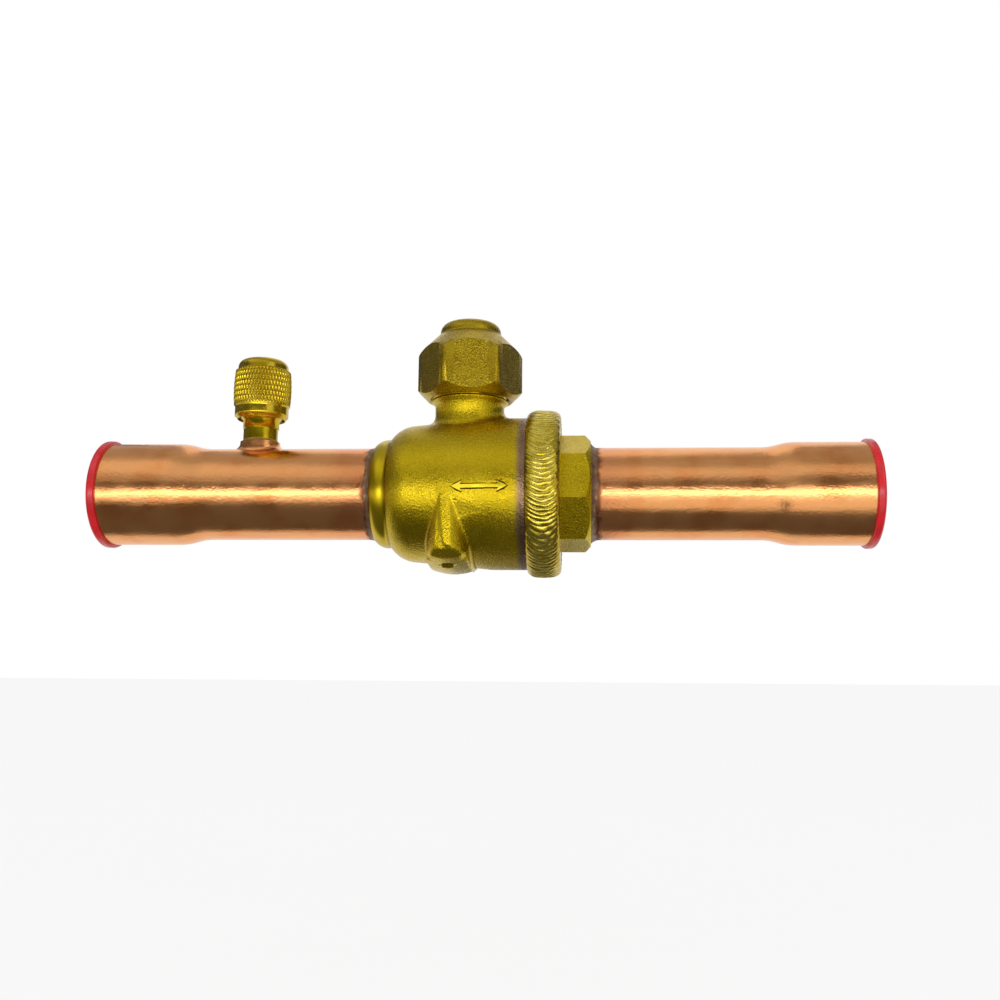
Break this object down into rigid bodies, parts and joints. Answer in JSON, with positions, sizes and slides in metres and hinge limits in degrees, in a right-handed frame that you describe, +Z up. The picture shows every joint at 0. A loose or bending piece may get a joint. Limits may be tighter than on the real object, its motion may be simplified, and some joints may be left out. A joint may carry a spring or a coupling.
{
  "type": "refrigerant ball valve",
  "caption": "Straight brass ball valve for a refrigerant line with brazed copper tube ends, a hexagonal stem cap and a knurled cap on an access port.",
  "frame": {"origin": "on the pipe axis at the stop where a pipe pushed into the inlet socket ends", "axes": "+X along the pipe from inlet to outlet, +Z up along the stem, towards the seal cap"},
  "size_m": [0.1852, 0.0404, 0.0629],
  "materials": {
    "forged_brass": "fine blasted grain of a forging, olive yellow",
    "turned_brass": "turned, satin",
    "weld_brass": "as welded, close crescent ripples",
    "knurled_brass": "turned and diamond knurled",
    "copper": "bright drawn copper with fine lengthwise marks",
    "braze": "dull oxidised braze filler",
    "seat_ptfe": "smooth white fluoroplastic",
    "seal_rubber": "moulded black",
    "ball_plating": "polished hard plating",
    "stem_steel": "turned, zinc plated",
    "spring_steel": "drawn wire and strip",
    "plug_red": "moulded soft polyethylene"
  },
  "bodies": {
    "valve": {"valve_body": "forged_brass", "end_connector": "turned_brass", "weld_bead": "weld_brass", "inlet_tube": "copper", "outlet_tube": "copper", "inlet_braze_ring": "braze", "outlet_braze_ring": "braze", "inlet_ball_seat": "seat_ptfe", "outlet_ball_seat": "seat_ptfe", "stem_thrust_washer": "seat_ptfe", "stop_pin": "spring_steel", "access_port_body": "turned_brass", "port_braze_ring": "braze", "core_body": "turned_brass", "core_ring": "seal_rubber", "core_spring": "spring_steel"},
    "stem": {"stem": "stem_steel", "ball": "ball_plating", "stem_o_ring_lower": "seal_rubber", "stem_o_ring_upper": "seal_rubber", "stop_plate": "stem_steel", "stop_plate_clip": "spring_steel"},
    "seal_cap_gasket": {"seal_cap_gasket": "seal_rubber"},
    "seal_cap": {"seal_cap": "forged_brass"},
    "port_cap_seal": {"port_cap_seal": "seal_rubber"},
    "port_cap": {"port_cap": "knurled_brass"},
    "core_pin": {"core_pin": "turned_brass"},
    "inlet_plug": {"inlet_plug": "plug_red"},
    "outlet_plug": {"outlet_plug": "plug_red"}
  },
  "joints": [
    {"name": "stem_turn", "type": "hinge", "parent": "valve", "child": "stem", "pos_m": [0.0708, 0, 0], "axis": [0, 0, 1], "range_deg": [-90, 0]},
    {"name": "seal_cap_lift", "type": "slide", "parent": "valve", "child": "seal_cap_gasket", "axis": [0, 0, 1], "range_m": [0, 0.009]},
    {"name": "seal_cap_turn", "type": "hinge", "parent": "seal_cap_gasket", "child": "seal_cap", "pos_m": [0.0708, 0, 0.023], "axis": [0, 0, 1], "range_deg": [0, 2160]},
    {"name": "port_cap_lift", "type": "slide", "parent": "valve", "child": "port_cap_seal", "axis": [0, 0, 1], "range_m": [0, 0.0108]},
    {"name": "port_cap_turn", "type": "hinge", "parent": "port_cap_seal", "child": "port_cap", "pos_m": [0.0191, 0, 0.0185], "axis": [0, 0, 1], "range_deg": [0, 3060]},
    {"name": "core_pin_press", "type": "slide", "parent": "valve", "child": "core_pin", "axis": [0, 0, -1], "range_m": [0, 0.0015], "stiffness_N_per_m": 1000, "deforming": ["core_spring"]},
    {"name": "inlet_plug_pull", "type": "slide", "parent": "valve", "child": "inlet_plug", "axis": [-1, 0, 0], "range_m": [0, 0.04]},
    {"name": "outlet_plug_pull", "type": "slide", "parent": "valve", "child": "outlet_plug", "axis": [1, 0, 0], "range_m": [0, 0.04]}
  ],
  "couplings": [
    {"joint": "seal_cap_turn", "follows": "seal_cap_lift", "rad_per_m": 4188.7},
    {"joint": "port_cap_turn", "follows": "port_cap_lift", "rad_per_m": 4947.2}
  ]
}
